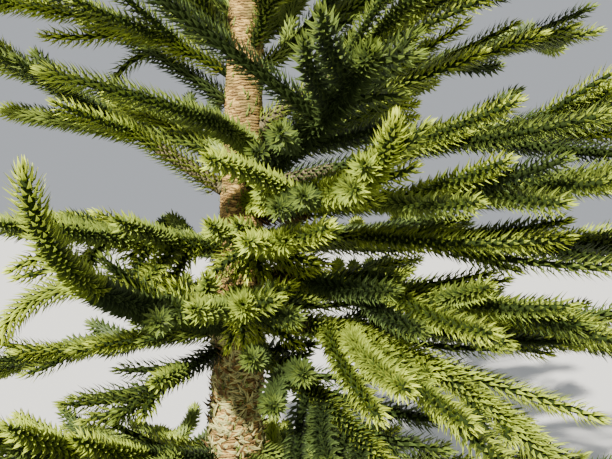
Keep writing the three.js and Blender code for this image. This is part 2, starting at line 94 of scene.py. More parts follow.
# Each whorl's height and boughs: azimuth, length, elevation at the start and at the end. rise is
# the height above the whorl, bend the turn sideways, and a greater turn bends it up or down later.
# limb is the length of the bare wooden part, gap, reach and tipUp the side shoots' spacing, length
# and lift, and an extra is one more shoot: along, turned by, from, to, length, bend. Finer shoots
# stand up to fineTo. deadFoot and the bright tip are lengths with tints of their own: dead leaves
# at the foot, and at the tip the bright tint as painted sunlight.
whorls = {
    "skirt": (720, [
        bough(222, 1000, 10, 30, gap=270, reach=0.6),
        bough(262, 800, 0, 30, rise=-20, gap=270, reach=0.6),
        bough(303, 950, 2, 16, gap=270, reach=0.6),
        bough(352, 1250, -6, 4, rise=20),
        bough(60, 1200, -6, -10, rise=-80, tipUp=-2),
        bough(115, 1200, -6, -10, rise=-100, tipUp=-2),
        bough(168, 1200, -6, 8, rise=30),
    ]),
    "lower": (1180, [
        bough(
            253, 1270, 12, 84, turn=5, limb=220, reach=0.2, fineTo=520, brightTip=390, tint="deep",
            sideTint="deep",
            extras=[
                (440, -74, 34, -66, 520, 0), (90, 34, 12, 10, 380, 0), (60, -60, 26, 34, 380, 0),
            ],
            fineExtras=[
                (120, -40, 44, 50, 260, 0), (180, 30, 34, 40, 260, 0), (240, -50, 44, 50, 260, 0),
                (300, 44, 20, 24, 300, 0), (360, -44, 40, 44, 260, 0), (150, -90, 20, 20, 260, 0),
                (60, 84, 20, 30, 260, 0), (420, 50, 10, 20, 300, 0),
            ],
        ),
        bough(226, 850, -14, -42, rise=-60, turn=1.4, gap=270, reach=0.4),
        bough(163, 1250, -4, -22, rise=-30, turn=1, gap=400, reach=0.35),
        bough(
            320, 1300, 4, -48, rise=20, limb=200, gap=240, reach=0.65, tipUp=-4,
            tint="bright", sideTint="bright",
        ),
        bough(
            302, 850, -6, -24, rise=-60, gap=240, reach=0.7, sideTint="deep", extraTint="deep",
            extras=[(60, -34, 12, 14, 400, 0)],
            fineExtras=[
                (60, 14, 26, -8, 420, 0), (60, -16, 30, 0, 340, 0), (150, 26, 28, -8, 400, 0),
                (240, -24, 26, 0, 300, 0),
            ],
        ),
        bough(358, 1380, 2, -10, rise=-20, gap=270, reach=0.6),
        bough(60, 1300, 2, 8, rise=20),
        bough(112, 1300, 0, 6, rise=-20),
        bough(
            276, 620, -6, 16, rise=120, gap=170, reach=0.75, extraTint="bright",
            extras=[(110, -52, -30, -16, 420, 0), (110, 56, -30, -16, 420, 0)],
            fineExtras=[
                (60, -84, -66, -40, 330, 0), (60, 84, -66, -40, 330, 0), (90, 6, -74, -46, 300, 0),
                (60, -40, -50, -20, 330, 0), (60, 40, -50, -20, 330, 0),
                (150, -30, -60, -30, 300, 0), (150, 34, -60, -30, 300, 0),
                (210, 4, -56, -30, 280, 0), (60, 62, -20, -10, 420, 0), (110, 78, -16, -4, 380, 0),
            ],
        ),
    ]),
    "middle": (1430, [
        bough(
            216, 800, 8, 6, gap=240, reach=0.6, extraTint="bright",
            extras=[(150, 40, -24, -8, 420, 0)],
            fineExtras=[
                (90, 30, -40, -20, 260, 0), (240, 34, -44, -20, 280, 0),
                (300, -30, -40, -20, 260, 0), (390, 40, -40, -20, 260, 0),
                (480, -34, -36, -10, 260, 0), (60, -16, -28, -4, 520, 0),
                (210, -22, -26, -4, 460, 0), (330, -14, -26, -2, 400, 0),
                (450, -20, -24, 0, 340, 0),
            ],
        ),
        bough(
            286, 620, 0, 8, rise=30, gap=240, reach=0.7, extraTint="bright",
            extras=[(120, -70, -28, -36, 440, 0), (60, -24, -34, -20, 380, 0)],
            fineExtras=[
                (60, -60, -62, -30, 300, 0), (60, 50, -60, -30, 300, 0),
                (120, 20, -64, -30, 280, 0), (60, -90, -50, -30, 300, 0),
                (120, -20, -50, -20, 280, 0), (90, -36, -76, -60, 200, 0),
                (60, -110, -60, -50, 220, 0), (150, -120, -60, -50, 240, 0),
                (90, 80, -60, -50, 240, 0), (60, 76, -34, -14, 380, 0), (120, 58, -26, -12, 380, 0),
                (60, -92, -30, -24, 320, 0), (120, 88, -14, -12, 420, 0),
                (180, 66, -18, -12, 400, 0),
            ],
        ),
        bough(347, 1420, 4, -10, rise=30, limb=220, gap=260, reach=0.65),
        bough(
            334, 1150, -4, -8, rise=-70, gap=240, deadFoot=150, extraTint="deep",
            fineExtras=[
                (90, 26, 18, 8, 400, 0), (150, -26, 22, 10, 360, 0), (240, 22, 18, 6, 380, 0),
                (330, -24, 18, 6, 360, 0),
            ],
        ),
        bough(50, 1300, 2, 4),
        bough(130, 1250, 2, 4, rise=-10),
    ]),
    "main": (1700, [
        bough(306, 900, 12, 12, rise=40, bend=-116, turn=0.8, gap=400, reach=0.2, fineTo=0),
        bough(
            298, 1050, 8, 22, rise=-30, bend=-12, limb=200, gap=270, reach=0.5, tint="deep",
            sideTint="deep", extraTint="deep",
            extras=[(600, -84, 34, 36, 620, 0), (560, -60, 66, 80, 380, 0)],
        ),
        bough(
            296, 1020, 2, 84, rise=-110, turn=7, gap=270, reach=0.36, brightTip=300,
            extraTint="bright", extras=[(360, -68, 21, 6, 430, 18)],
        ),
        bough(
            350, 1300, 36, 28, rise=100, limb=240, gap=240, reach=0.5,
            extras=[(500, 10, 60, 80, 350, 0)],
        ),
        bough(18, 1450, 34, 8, rise=30, turn=1, gap=270, reach=0.5),
        bough(
            349, 1400, 13, 12, rise=-70, limb=240, gap=230, reach=0.65,
            extras=[(300, -28, -4, 0, 900, 14), (700, -30, -10, -2, 500, 10)],
        ),
        bough(330, 1250, 7, 3, rise=-160, gap=230, reach=0.6, deadFoot=210),
        bough(62, 1300, 16, 16),
        bough(118, 1250, 14, 18, rise=20),
        bough(
            181, 1020, 32, 30, rise=-100, limb=200, gap=270, reach=0.5,
            extras=[(220, 24, 20, 22, 850, 0), (300, -30, 14, 10, 600, 10)],
        ),
    ]),
    "upper": (2010, [
        bough(194, 1250, 46, -8, rise=-30, turn=0.5, gap=320, reach=0.36, fineTo=300),
        bough(
            166, 640, 36, 26, rise=-120, reach=0.3, fineTo=0, extras=[(300, 8, -10, -86, 240, 0)],
        ),
        bough(224, 800, 44, 36, rise=30, reach=0.35),
        bough(306, 800, 50, 36, rise=40),
        bough(30, 1200, 34, 20),
        bough(98, 1200, 30, 20, rise=30),
    ]),
    "high": (2420, [
        bough(0, 1150, 36, 26, gap=340, reach=0.5),
        bough(90, 1150, 32, 24, rise=20, gap=340, reach=0.5),
        bough(180, 1150, 32, 24, rise=-20, gap=340, reach=0.5),
        bough(262, 1150, 36, 26, gap=340, reach=0.5),
    ]),
    "higher": (2830, [
        bough(45, 1060, 40, 30, gap=310),
        bough(165, 1060, 38, 32, rise=20, gap=310),
        bough(285, 1060, 40, 30, rise=-20, gap=310),
    ]),
    "young": (3240, [
        bough(345, 920, 44, 36),
        bough(105, 920, 44, 36, rise=20),
        bough(225, 920, 42, 36, rise=-20),
    ]),
    "youngest": (3640, [
        bough(60, 780, 48, 42, gap=270),
        bough(180, 780, 48, 42, rise=20, gap=270),
        bough(300, 780, 48, 42, rise=-20, gap=270),
    ]),
}


toMetres = 0.001  # lines and plans are in millimetres, meshes in metres


def nearest(value):
    return math.floor(value + 0.5)


def limited(value, low, high):
    return max(low, min(high, value))


def unit(vector):
    return vector / max(1e-9, float(np.linalg.norm(vector)))


# Throws between two limits, the same ones in every run and in the part's source
dicePlan = {"times": 1664525, "plus": 1013904223, "range": 2 ** 32}


# A mass's own dice under one rule
def makeDice(owner, rule):
    state = [rule["seed"] * (owner + rule["firstLot"]) % dicePlan["range"]]

    def between(low, high):
        state[0] = (state[0] * dicePlan["times"] + dicePlan["plus"]) % dicePlan["range"]
        return low + (high - low) * state[0] / dicePlan["range"]

    return between


def trunkAxis(z):
    return np.array([
        math.tan(math.radians(trunkPlan["lean"])) * z,
        trunkPlan["sway"] * math.sin(z * trunkPlan["swayRate"]),
        z,
    ])


def trunkRadius(z):
    taper = max(0.0, (trunkPlan["taperTop"] - z) / 1000) ** trunkPlan["taperPower"]
    flare = trunkPlan["flareSize"] * math.exp(-z / trunkPlan["flareHeight"])
    return trunkPlan["taperSize"] * taper + trunkPlan["tipRadius"] + flare


def fromTrunkAxis(point):
    axis = trunkAxis(point[2])
    return math.hypot(point[0] - axis[0], point[1] - axis[1])


def growLine(start, azimuth, low, high, length, bend, dip, turn):
    count = max(2, nearest(length / step))
    points = [np.array(start, dtype=float)]
    for i in range(count):
        t = (i + 0.5) / count
        elevation = math.radians(low + (high - low) * t ** turn + dip * 4 * t * (1 - t))
        heading = math.radians(azimuth + bend * t ** growthPlan["headingPower"])
        east, north = math.cos(heading), math.sin(heading)
        level = math.cos(elevation)
        stride = np.array([level * east, level * north, math.sin(elevation)])
        points.append(points[-1] + stride * (length / count))
    return points


# Every line grown so far: place, room kept round it, its owner, and 1 where it is a main shoot
taken = {
    "points": np.zeros((0, 3)), "rooms": np.zeros(0), "owners": np.zeros(0), "mains": np.zeros(0),
}


def take(points, rooms, owner, isMain):
    taken["points"] = np.vstack([taken["points"], np.array(points)])
    taken["rooms"] = np.append(taken["rooms"], rooms)
    taken["owners"] = np.append(taken["owners"], [owner] * len(points))
    taken["mains"] = np.append(taken["mains"], [1 if isMain else 0] * len(points))


# How many points of a line are clear of the trunk and of all that is taken
def clearCount(points, rooms, owner, freeRoot, rule):
    own = taken["owners"] == owner
    freeOf = np.where(taken["mains"] == 1, freeRoot, rule["sideRoot"])
    for i, point in enumerate(points):
        along = i * step
        if point[2] < growthPlan["lowestLeaf"]:
            return i
        trunkRoom = trunkRadius(point[2]) + rooms[i] + growthPlan["clear"]
        if along > freeRoot and fromTrunkAxis(point) < trunkRoom:
            return i
        room = taken["rooms"] + rooms[i]
        otherRoom = room * rule["otherShare"] + growthPlan["clear"]
        least = np.where(own, room * rule["ownShare"], otherRoom)
        distance = np.linalg.norm(taken["points"] - point, axis=1)
        if np.any((distance < least) & ~(own & (along <= freeOf))):
            return i
    return len(points)


def headingAt(points, index):
    stride = unit(points[index + 1] - points[index])
    azimuth = math.degrees(math.atan2(stride[1], stride[0]))
    return azimuth, math.degrees(math.asin(limited(stride[2], -1, 1)))


# The main shoots, each cut back to where it is clear; a mass is one of them with its side shoots
def growMains():
    rule, mains = growthPlan, []
    for storey, (height, boughs) in whorls.items():
        for index, plan in enumerate(boughs):
            line = growLine(
                trunkAxis(height + plan["rise"]), plan["azimuth"], plan["from"], plan["to"],
                plan["length"], plan["bend"], 0, plan["turn"],
            )
            outside = [fromTrunkAxis(p) > trunkRadius(p[2]) + rule["trunkMargin"] for p in line]
            first = outside.index(True)
            bare = first + nearest(max(plan["limb"], rule["bareStart"]) / step)
            rooms = [rule["limbRoom" if i < bare else "shootRoom"] for i in range(len(line))]
            mains.append({
                "plan": plan, "name": f"{storey}_{index + 1}", "storey": storey,
                "owner": len(mains), "points": line, "rooms": rooms, "first": first, "bare": bare,
                "sides": [], "extraSides": [],
            })
    for main in mains:
        first, owner = main["first"], main["owner"]
        points, rooms = main["points"][first:], main["rooms"][first:]
        count = clearCount(points, rooms, owner, math.inf, rule)
        main["points"] = main["points"][:first + count]
        take(points[:count], rooms[:count], owner, True)
    return mains


# Lowest and highest place that the main and coarse side shoots of a mass reach
def reachOf(main):
    places = np.vstack([np.array(main["points"]), *[np.array(side) for side in main["sides"]]])
    return places.min(axis=0) - finePlan["past"], places.max(axis=0) + finePlan["past"]


def addSide(main, start, azimuth, low, high, length, bend, rule):
    dip, turn = growthPlan["sideDip"], growthPlan["sideTurn"]
    line = growLine(start, azimuth, low, high, length, bend, dip, turn)
    rooms = [rule["room"]] * len(line)
    count = clearCount(line, rooms, main["owner"], rule["freeRoot"], rule)
    if "reach" in main:
        low, high = main["reach"]
        inside = [bool(np.all((p >= low) & (p <= high))) for p in line[:count]]
        count = inside.index(False) if False in inside else count
    if count * step < rule["shortest"]:
        return False
    take(line[:count], rooms[:count], main["owner"], False)
    main["sides"].append(line[:count])
    return True


def addExtras(main, extras, rule):
    for along, turned, low, high, length, bend in extras:
        index = main["first"] + nearest(along / step)
        if index > len(main["points"]) - growthPlan["extrasEnd"]:
            continue
        start, azimuth = main["points"][index], headingAt(main["points"], index)[0] + turned
        if addSide(main, start, azimuth, low, high, length, bend, rule):
            main["extraSides"].append(len(main["sides"]) - 1)


# One side shoot at its place along the bough; side is -1 or 1, and the dice give the rest
def drawSide(main, along, side, dice, rule):
    plan = main["plan"]
    turned, share, lift = dice(*rule["turned"]), dice(*rule["share"]), dice(*rule["lift"])
    index = main["first"] + nearest(along / step)
    if index > len(main["points"]) - rule["sidesEnd"]:
        return
    azimuth, elevation = headingAt(main["points"], index)
    shorter = 1 - growthPlan["shortening"] * along / plan["length"]
    reached = max(plan["reach"] * plan["length"] * shorter, rule["leastReach"])
    low = elevation * growthPlan["elevationShare"] + lift
    low = limited(low, growthPlan["lowestSide"], rule["steepestSide"])
    steepness = limited(elevation, -growthPlan["openedTo"], growthPlan["openedTo"])
    opened = side * turned / math.cos(math.radians(steepness))
    high = low * growthPlan["tipShare"] + plan["tipUp"]
    start, bend = main["points"][index], -side * growthPlan["curveBack"]
    addSide(main, start, azimuth + opened, low, high, reached * share, bend, rule)


def addSides(main):
    plan, rule = main["plan"], growthPlan
    dice = makeDice(main["owner"], rule)
    along = max(plan["limb"] + rule["pastLimb"], rule["firstSide"])
    while along < plan["length"] - rule["bareEnd"]:
        for side in (-1, 1):
            between = 0.5 * plan["gap"] if side > 0 else 0  # the two sides alternate
            drawSide(main, along + between + dice(*rule["place"]), side, dice, rule)
        along += plan["gap"]


# The finer shoots are tried all along every main shoot, wherever room is left
def addFineSides(main):
    plan = main["plan"]
    dice = makeDice(main["owner"], finePlan)
    along, side = finePlan["firstAt"] + plan["limb"], 1
    while along < min(plan["length"] - finePlan["bareEnd"], plan["fineTo"]):
        side = -side
        drawSide(main, along, side, dice, finePlan)
        along += finePlan["gap"]


def growLeader(owner):
    rule, plan = growthPlan, leaderPlan
    length = plan["tip"] - trunkPlan["top"]
    count = nearest(length / step)
    foot, pitch = trunkPlan["top"] + plan["foot"], length / count
    points = [trunkAxis(foot + i * pitch) for i in range(count + 1)]
    leader = {
        "name": "top", "storey": "top", "owner": owner, "points": points, "first": 0,
        "bare": plan["leafless"], "sides": [], "extraSides": [],
        "plan": {**boughDefaults, "length": length, "reach": plan["reach"]},
    }
    above = points[plan["leafless"]:]
    take(above, [rule["room"]] * len(above), owner, True)
    dice = makeDice(owner, rule)
    for height, shoots, firstAzimuth, sideLength in plan["whorls"]:
        start = points[nearest((height - trunkPlan["top"]) / step)]
        for i in range(shoots):
            azimuth = firstAzimuth + 360 * i / shoots + dice(*plan["turned"])
            lean, share = dice(*plan["lean"]), dice(*plan["share"])
            addSide(leader, start, azimuth, lean, plan["sideTo"], sideLength * share, 0, rule)
    return leader


def growTree():
    mains = growMains()
    for main in mains:
        addExtras(main, main["plan"]["extras"], growthPlan)
    for main in mains:
        addSides(main)
    mains.append(growLeader(len(mains)))
    coarse = sum(len(main["sides"]) for main in mains)
    for main in mains:
        main["reach"] = reachOf(main)
        addExtras(main, main["plan"]["fineExtras"], closePlan)
        addFineSides(main)
    everySide = [side for main in mains for side in main["sides"]]
    mainMetres = sum(len(main["points"]) - main["first"] for main in mains) * step / 1000
    sideMetres = sum(len(side) for side in everySide) * step / 1000
    print(f"growth: {len(mains)} masses, {coarse} coarse and {len(everySide) - coarse} fine side "
          f"shoots, {mainMetres:.0f} + {sideMetres:.0f} m")
    return mains


nodeGrid = {"columns": 8, "across": 220, "down": 320}


# A new node with its settings, and its inputs set or linked; nodes stand in rows as they are made
def addNode(tree, kind, inputs=None, **settings):
    row, column = divmod(len(tree.nodes), nodeGrid["columns"])
    node = tree.nodes.new(kind)
    node.location = (column * nodeGrid["across"], -row * nodeGrid["down"])
    for name, value in settings.items():
        setattr(node, name, value)
    for label, value in (inputs or {}).items():
        if isinstance(value, bpy.types.NodeSocket):
            tree.links.new(value, node.inputs[label])
        else:
            node.inputs[label].default_value = value
    return node


def mathNode(tree, operation, *values, clamp=False):
    inputs = dict(enumerate(values))
    node = addNode(tree, "ShaderNodeMath", inputs, operation=operation, use_clamp=clamp)
    return node.outputs[0]


def mixColour(tree, factor, first, second, blend="MIX"):
    inputs = {0: factor, 6: first, 7: second}  # 6 and 7 are the node's colour sockets
    node = addNode(tree, "ShaderNodeMix", inputs, data_type="RGBA", blend_type=blend)
    return node.outputs[2]


def noiseNode(tree, vector, scale, detail, roughness):
    inputs = {"Vector": vector, "Scale": scale, "Detail": detail, "Roughness": roughness}
    return addNode(tree, "ShaderNodeTexNoise", inputs).outputs["Fac"]


def objectPlace(tree):
    return addNode(tree, "ShaderNodeTexCoord").outputs["Object"]


def rgba(colour):
    return (*colour, 1.0)


# A shader group from named colours and numbers to a colour, a roughness and a height
def makeShaderGroup(name, colours, numbers):
    group = bpy.data.node_groups.new(name, "ShaderNodeTree")
    for way, labels, kind in (
        ("INPUT", colours, "Color"), ("INPUT", numbers, "Float"),
        ("OUTPUT", ["Colour"], "Color"), ("OUTPUT", ["Roughness", "Height"], "Float"),
    ):
        for label in labels:
            group.interface.new_socket(label, in_out=way, socket_type=f"NodeSocket{kind}")
    return group, addNode(group, "NodeGroupInput").outputs


def putOut(group, colour, roughness, height):
    addNode(group, "NodeGroupOutput", {"Colour": colour, "Roughness": roughness, "Height": height})


# grain is a noise's scale, detail and roughness; a hue of 0.5 leaves the colour as it is; foot is
# the painted shade multiplied into each leaf's base and keel
leafLook = {
    "grain": (60, 2.0, 0.55), "hueGrain": 0.035, "hue": 0.4805, "glossGrain": 0.25,
    "foot": (0.09, 0.12, 0.12), "baseShadePower": 1.3,
}


# Leaf colour: older towards the shoot's foot, fresher towards its bud, each leaf a little
# different, and darker at the leaf's base and keel as painted shade, its rim in full colour
def makeLeafTone():
    group, given = makeShaderGroup(
        "leafTone", ["Old", "Fresh"], ["Fresh Length", "Variation", "Gloss"],
    )
    look, calc = leafLook, functools.partial(mathNode, group)
    tip, shade, blade = (
        addNode(group, "ShaderNodeAttribute", attribute_name=name).outputs["Fac"]
        for name in ("fromTip", "shade", "blade")
    )
    fresh = calc("SUBTRACT", 1.0, calc("DIVIDE", tip, given["Fresh Length"]), clamp=True)
    aged = mixColour(group, fresh, given["Old"], given["Fresh"])
    bright = calc("ADD", calc("MULTIPLY", calc("SUBTRACT", shade, 0.5), given["Variation"]), 1.0)
    grain = noiseNode(group, objectPlace(group), *look["grain"])
    hue = calc("MULTIPLY_ADD", grain, look["hueGrain"], look["hue"])
    toned = {"Hue": hue, "Value": bright, "Color": aged}
    own = addNode(group, "ShaderNodeHueSaturation", toned).outputs["Color"]
    # painted shade: the leaf's base and keel are darkened, so the rim stands out as if lit
    foot = mixColour(group, 1.0, own, rgba(look["foot"]), "MULTIPLY")
    pale = calc("POWER", blade, look["baseShadePower"], clamp=True)
    rough = calc("MULTIPLY_ADD", grain, look["glossGrain"], given["Gloss"])
    putOut(group, mixColour(group, pale, foot, own), rough, grain)
    return group


# A noise is scale, detail and roughness, and any other pair is times and plus
barkLook = {
    "ragged": (1.9, 5.0, 0.65), "raggedRows": (1.1, -0.55), "rowTurn": 7.0,
    "closed": (1.6, -0.75), "endWidth": 0.06, "endDepth": (0.45, 0.55),
    "streaks": (7.0, 7.0, 0.7), "streakStretch": (1.3, 1.0, 1.0), "worn": (1.5, -0.75),
    "ownTone": 0.9, "mossAndPaintedShade": (9, 4.0, 0.65), "mossFrom": 0.5, "mossEdge": 5.0,
    "rough": (0.2, 0.74), "streakHeight": 0.5,
}


# Bark in level plates. The UV map "plates" counts plates round the stem and rows up it; every row
# is turned on by its own share, and every plate has its own tone.
def makeBarkTone():
    group, given = makeShaderGroup(
        "barkTone", ["Gap", "Plate", "Rim", "Moss And Painted Shade"], ["Moss Amount", "Gap Width"],
    )
    look = barkLook
    add, calc = functools.partial(addNode, group), functools.partial(mathNode, group)

    def scaled(value, name, **settings):
        return calc("MULTIPLY_ADD", value, *look[name], **settings)

    def edge(value, width):
        least = calc("MINIMUM", value, calc("SUBTRACT", 1.0, value))
        return calc("DIVIDE", least, width, clamp=True)

    plates = add("ShaderNodeAttribute", attribute_name="plates").outputs["Vector"]
    parts = add("ShaderNodeSeparateXYZ", {0: plates}).outputs
    up = calc("ADD", parts["Y"], scaled(noiseNode(group, plates, *look["ragged"]), "raggedRows"))
    row, rise = calc("FLOOR", up), calc("FRACT", up)
    shift = add("ShaderNodeTexWhiteNoise", {"W": row}, noise_dimensions="1D").outputs["Value"]
    turned = calc("MULTIPLY_ADD", shift, look["rowTurn"], parts["X"])
    cell, across = calc("FLOOR", turned), calc("FRACT", turned)
    both = add("ShaderNodeCombineXYZ", {0: cell, 1: row}).outputs[0]
    own = add("ShaderNodeTexWhiteNoise", {"Vector": both}, noise_dimensions="2D").outputs["Value"]

    # the plate's height, low in the gaps between rows and at its ends, where none is closed
    level = calc("MAXIMUM", edge(rise, given["Gap Width"]), scaled(own, "closed", clamp=True))
    plate = calc("MULTIPLY", level, scaled(edge(across, look["endWidth"]), "endDepth"))
    stretched = add("ShaderNodeMapping", {"Vector": plates, "Scale": look["streakStretch"]})
    streak = noiseNode(group, stretched.outputs[0], *look["streaks"])
    worn = scaled(streak, "worn")
    height = calc("ADD", plate, worn, clamp=True)
    tone = calc("MULTIPLY_ADD", own, look["ownTone"], worn, clamp=True)
    face = mixColour(group, tone, given["Plate"], given["Rim"])
    barked = mixColour(group, height, given["Gap"], face)
    # dark green patches: partly moss on the bark, partly painted shade
    mossAndShadeMask = calc("SUBTRACT", noiseNode(group, objectPlace(group), *look["mossAndPaintedShade"]), look["mossFrom"])
    mossAndShadeMask = calc("MULTIPLY", mossAndShadeMask, look["mossEdge"], clamp=True)
    mossAndShadeMask = calc("MULTIPLY", mossAndShadeMask, given["Moss Amount"], clamp=True)
    colour = mixColour(group, mossAndShadeMask, barked, given["Moss And Painted Shade"])
    relief = calc("MULTIPLY_ADD", streak, look["streakHeight"], plate)
    putOut(group, colour, scaled(streak, "rough"), relief)
    return group


# bump is the relief's strength and distance
def makeMaterial(name, group, tones, bump, specular):
    material = bpy.data.materials.new(name)
    material.use_nodes = True
    tree = material.node_tree
    shader = tree.nodes["Principled BSDF"].inputs
    tones = {key: rgba(tone) if isinstance(tone, tuple) else tone for key, tone in tones.items()}
    given = addNode(tree, "ShaderNodeGroup", tones, node_tree=group).outputs
    bumped = {"Strength": bump[0], "Distance": bump[1], "Height": given["Height"]}
    relief = addNode(tree, "ShaderNodeBump", bumped).outputs["Normal"]
    tree.links.new(given["Colour"], shader["Base Color"])
    tree.links.new(given["Roughness"], shader["Roughness"])
    tree.links.new(relief, shader["Normal"])
    shader["Specular IOR Level"].default_value = specular
    return material


# A mesh from arrays in metres; faces all have the same number of corners
def makeMesh(name, vertices, faces, smooth):
    mesh = bpy.data.meshes.new(name)
    count, corners = faces.shape
    mesh.vertices.add(len(vertices))
    mesh.vertices.foreach_set("co", np.asarray(vertices, dtype=np.float32).ravel())
    mesh.loops.add(count * corners)
    mesh.loops.foreach_set("vertex_index", faces.astype(np.int32).ravel())
    mesh.polygons.add(count)
    mesh.polygons.foreach_set("loop_start", np.arange(count, dtype=np.int32) * corners)
    mesh.update(calc_edges=True)
    mesh.validate()
    if smooth:
        mesh.shade_smooth()
    return mesh


def addObject(name, data):
    thing = bpy.data.objects.new(name, data)
    bpy.context.scene.collection.objects.link(thing)
    return thing


def addPiece(name, mesh, material, nodes):
    piece = addObject(name, mesh)
    mesh.materials.clear()
    mesh.materials.append(material)
    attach(piece, "root")
    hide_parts(*nodes)
    return piece


# Quads between rings of the same number of points, closed round each ring
def ringFaces(rings, sides, offset=0):
    row = np.arange(rings - 1)[:, None] * sides
    here = np.arange(sides)[None, :]
    after = (here + 1) % sides
    faces = np.stack([row + here, row + after, row + sides + after, row + sides + here], axis=-1)
    return faces.reshape(-1, 4) + offset


# Points on a circle in the plane of two cross directions
def ringPoints(centre, reach, turn, across, over):
    return centre + np.outer(reach * np.cos(turn), across) + np.outer(reach * np.sin(turn), over)


nearlyUpright = 0.95  # from here on a line's first cross direction is level


# Cross directions along a line, carried on without twist
def carriedFrames(points):
    points = np.array(points)
    ahead = np.gradient(points, axis=0)
    ahead /= np.linalg.norm(ahead, axis=1)[:, None]
    steep = abs(ahead[0][2]) >= nearlyUpright
    across = np.array([1.0, 0.0, 0.0]) if steep else np.array([0.0, 0.0, 1.0])
    sideways = []
    for direction in ahead:
        across = unit(across - np.dot(across, direction) * direction)
        sideways.append(across)
    sideways = np.array(sideways)
    return points, ahead, sideways, np.cross(ahead, sideways)


# The trunk's rings lie closer below fineTop, where the photograph shows it
barkPlan = {
    "sides": 88, "fineRow": 3.0, "coarseRow": 9.0, "fineTop": 2200,
    "plateHeight": 9.5, "plates": 15, "depth": 3.4, "waver": 1.4, "seed": 5,
    "lumps": [(0.020, 2, 0.006, 0), (0.014, 5, -0.017, 0)], "lumpsFrom": 200,
}

# cover is how far the stem inside a bare bough stays under its bark
limbPlan = {
    "root": 27, "tip": 20, "before": 45, "sides": 28, "row": 3.0, "cover": 1,
    "plateHeight": 9.0, "plates": 6, "depth": 2.2, "waver": 1.0, "seed": 6,
}

# Waves are size, waves round the stem, turn for each millimetre up it, and start
plateShape = {
    "sway": [(0.35, 0, 0.043, 0), (0.3, 0, 0.117, 2), (0.2, 0, 0.31, 0)],
    "waver": [(1.0, 3, 0.011, 0), (0.6, 7, -0.023, 0)],
    "columnShift": 0.7, "lipRise": 4.5, "lip": (1.1, 0.7), "own": (0.2, 1.1), "raised": 0.35,
    "middle": 0.6, "throws": 1009, "rowStep": 37, "columnStep": 101, "shiftStep": 7,
}


def waves(rows, turn, along):
    return sum(
        size * np.sin(turn * around + along * up + start) for size, around, up, start in rows
    )


# A fixed throw between 0 and 1 for every plate
def thrown(table, row, column):
    steps = row.astype(int) * plateShape["rowStep"] + column.astype(int) * plateShape["columnStep"]
    return table[steps % len(table)]


# Plates round the stem and rows up it: the rows waver, and each column of plates is shifted
def platesAt(turn, along, plan, table):
    around = turn * plan["plates"] / (2 * np.pi) + waves(plateShape["sway"], turn, along)
    column = np.mod(np.floor(around), plan["plates"])
    waver = plan["waver"] * waves(plateShape["waver"], turn, along)
    shift = thrown(table, column, column * plateShape["shiftStep"]) * plateShape["columnShift"]
    return around, (along + waver) / plan["plateHeight"] + shift, column


# How far the bark stands out: each plate a lip that leans over the gap below it, some hardly parted
def plateRelief(turn, along, plan, table):
    _, rows, column = platesAt(turn, along, plan, table)
    rise = np.mod(rows, 1.0)
    whole, slope = plateShape["lip"]
    least, more = plateShape["own"]
    lip = np.clip(rise * plateShape["lipRise"], 0, 1) * (whole - slope * rise)
    own = thrown(table, np.floor(rows), column)
    return lip * (least + more * own) + plateShape["raised"] * thrown(table, column, np.floor(rows))


# Vertices of one stem ring by ring, its faces, and the UV of every corner
def barkRings(centres, across, over, radii, places, plan, lobed=None):
    sides, count = plan["sides"], len(centres)
    turn = np.arange(sides + 1) * 2 * np.pi / sides
    table = np.random.RandomState(plan["seed"]).rand(plateShape["throws"])
    vertices, plates = [], []
    for i, centre in enumerate(centres):
        along = np.full(sides + 1, places[i])
        relief = plateRelief(turn, along, plan, table) - plateShape["middle"]
        reach = radii[i] * (lobed(turn, places[i]) if lobed else 1) + relief * plan["depth"]
        vertices.append(ringPoints(centre, reach, turn, across[i], over[i])[:-1])
        around, rows, _ = platesAt(turn, along, plan, table)
        plates.append(np.stack([around, rows], axis=1))
    vertices = np.vstack([*vertices, [centres[0]], [centres[-1]]])
    plates = np.stack(plates)
    quads = ringFaces(count, sides)
    r, k = np.meshgrid(np.arange(count - 1), np.arange(sides), indexing="ij")
    corners = np.stack(
        [plates[r, k], plates[r, k + 1], plates[r + 1, k + 1], plates[r + 1, k]], axis=2,
    )
    here, last = np.arange(sides), (count - 1) * sides
    after = (here + 1) % sides
    foot, head = count * sides, count * sides + 1
    caps = np.vstack([
        np.stack([np.full(sides, foot), after, here], axis=1),
        np.stack([np.full(sides, head), last + here, last + after], axis=1),
    ])
    return vertices, quads, caps, corners.reshape(-1, 2)


# One bark mesh out of stems, with the UV map "plates"
def barkMesh(name, stems):
    vertices, quads, caps, uvs, total = [], [], [], [], 0
    for points, faces, ends, corners in stems:
        vertices.append(points * toMetres)
        quads.append(faces + total)
        caps.append(ends + total)
        uvs.append(corners)
        total += len(points)
    quads, caps = np.vstack(quads), np.vstack(caps)
    mesh = bpy.data.meshes.new(name)
    mesh.from_pydata(np.vstack(vertices).tolist(), [], quads.tolist() + caps.tolist())
    layer = mesh.uv_layers.new(name="plates")
    flat = np.vstack([*uvs, np.zeros((len(caps) * 3, 2))])
    layer.data.foreach_set("uv", flat.astype(np.float32).ravel())
    mesh.shade_smooth()
    return mesh


